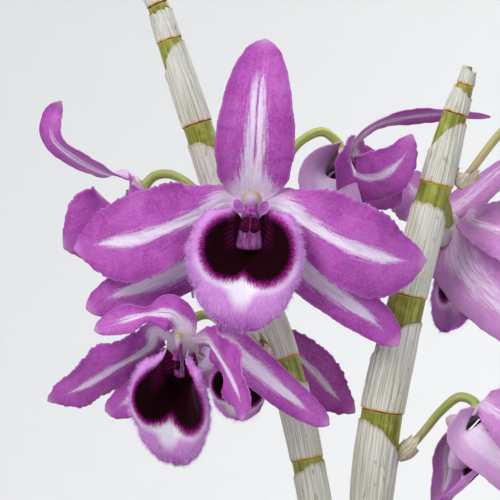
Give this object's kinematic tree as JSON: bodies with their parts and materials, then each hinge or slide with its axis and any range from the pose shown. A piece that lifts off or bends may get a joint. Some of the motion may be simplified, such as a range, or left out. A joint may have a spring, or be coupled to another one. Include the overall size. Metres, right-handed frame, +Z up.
{
  "type": "dendrobium orchid",
  "caption": "Flowering dendrobium orchid: leafless canes in papery sheaths carry wide blooms with dark-throated round lips and grow from bark in a plain round pot.",
  "frame": {"origin": "centre of the pot's flat underside, on the surface it stands on", "axes": "+Z up the plant, -Y towards the side that the main bloom faces, +X to the right of a viewer facing that bloom"},
  "size_m": [0.125, 0.0856, 0.2108],
  "materials": {
    "tepal": "soft satin petal, magenta-purple with a pale middle stripe",
    "lip": "velvety lilac with a maroon-black throat",
    "column": "waxy maroon",
    "stalk": "smooth green flower stalk with a papery bract",
    "cane": "green ribbed stem, brown at the nodes",
    "sheath": "dry white papery skin with fine ribs",
    "root": "grey-white corky roots",
    "bark": "rough dark bark chips",
    "pot": "plain unglazed fired clay"
  },
  "bodies": {
    "root": {"bloom_1_tepals": "tepal", "bloom_1_lip": "lip", "bloom_1_column": "column", "bloom_1_stalk": "stalk", "bloom_2_tepals": "tepal", "bloom_2_lip": "lip", "bloom_2_column": "column", "bloom_2_stalk": "stalk", "bloom_3_tepals": "tepal", "bloom_3_lip": "lip", "bloom_3_column": "column", "bloom_3_stalk": "stalk", "bloom_4_tepals": "tepal", "bloom_4_lip": "lip", "bloom_4_column": "column", "bloom_4_stalk": "stalk", "bloom_5_tepals": "tepal", "bloom_5_lip": "lip", "bloom_5_column": "column", "bloom_5_stalk": "stalk", "bloom_6_tepals": "tepal", "bloom_6_lip": "lip", "bloom_6_column": "column", "bloom_6_stalk": "stalk", "bloom_7_tepals": "tepal", "bloom_7_lip": "lip", "bloom_7_column": "column", "bloom_7_stalk": "stalk", "bloom_8_tepals": "tepal", "bloom_8_lip": "lip", "bloom_8_column": "column", "bloom_8_stalk": "stalk", "cane_left": "cane", "sheath_left_1": "sheath", "sheath_left_2": "sheath", "sheath_left_3": "sheath", "sheath_left_4": "sheath", "sheath_left_5": "sheath", "sheath_left_6": "sheath", "sheath_left_7": "sheath", "sheath_left_8": "sheath", "cane_right": "cane", "sheath_right_1": "sheath", "sheath_right_2": "sheath", "sheath_right_3": "sheath", "sheath_right_4": "sheath", "sheath_right_5": "sheath", "sheath_right_6": "sheath", "sheath_right_7": "sheath", "rhizome": "root", "bark_mix": "bark", "pot": "pot"}
  },
  "joints": []
}
